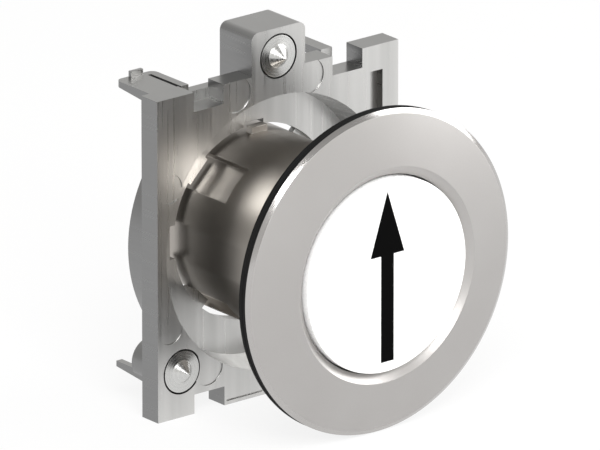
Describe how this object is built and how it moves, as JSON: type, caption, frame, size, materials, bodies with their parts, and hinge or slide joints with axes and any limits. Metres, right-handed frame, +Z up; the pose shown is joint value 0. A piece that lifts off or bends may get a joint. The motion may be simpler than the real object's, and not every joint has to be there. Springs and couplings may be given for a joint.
{
  "type": "panel push button",
  "caption": "Round flush panel push button: metal bezel, white cap with an up arrow, keyed barrel, and a clamping holder with cone point screws.",
  "frame": {"origin": "on the button's axis at the front face of the panel that the gasket seals against", "axes": "+Y along the button's axis into the cabinet, the way the button is pressed; +Z up along the arrow"},
  "size_m": [0.04, 0.0337, 0.0456],
  "materials": {
    "satin_bezel_metal": "fine satin, bead blasted",
    "polished_barrel_metal": "smooth, glossy",
    "cast_holder_metal": "die-cast, front linished with upright brush lines",
    "white_cap_plastic": "smooth moulded",
    "black_legend_plastic": "smooth moulded",
    "black_rubber": "matte",
    "grey_plastic": "moulded",
    "spring_steel": "plain",
    "screw_steel": "turned, zinc plated"
  },
  "bodies": {
    "head": {"front_bezel": "satin_bezel_metal", "panel_gasket": "black_rubber", "barrel": "polished_barrel_metal", "barrel_o_ring": "black_rubber", "bezel_snap_ring": "spring_steel", "seal_washer": "grey_plastic", "lip_seal": "black_rubber", "front_guide_bush": "grey_plastic", "stop_bumper": "black_rubber", "return_spring": "spring_steel", "spring_seat": "spring_steel", "rear_guide_bush": "grey_plastic", "barrel_circlip": "spring_steel"},
    "button": {"button_cap": "white_cap_plastic", "arrow_legend": "black_legend_plastic", "plunger": "grey_plastic", "pusher": "grey_plastic", "pusher_screw": "screw_steel"},
    "holder": {"holder_body": "cast_holder_metal"},
    "top_screw": {"clamp_screw_top": "screw_steel"},
    "lower_left_screw": {"clamp_screw_lower_left": "screw_steel"},
    "lower_right_screw": {"clamp_screw_lower_right": "screw_steel"}
  },
  "joints": [
    {"name": "button_press", "type": "slide", "parent": "head", "child": "button", "axis": [0, 1, 0], "range_m": [0, 0.003], "stiffness_N_per_m": 900, "springref_m": -0.003, "deforming": ["return_spring"]},
    {"name": "holder_slide", "type": "slide", "parent": "head", "child": "holder", "axis": [0, -1, 0], "range_m": [0, 0.007]},
    {"name": "top_screw_advance", "type": "slide", "parent": "holder", "child": "top_screw", "axis": [0, -1, 0], "range_m": [0, 0.0027]},
    {"name": "lower_left_screw_advance", "type": "slide", "parent": "holder", "child": "lower_left_screw", "axis": [0, -1, 0], "range_m": [0, 0.0027]},
    {"name": "lower_right_screw_advance", "type": "slide", "parent": "holder", "child": "lower_right_screw", "axis": [0, -1, 0], "range_m": [0, 0.0027]}
  ]
}
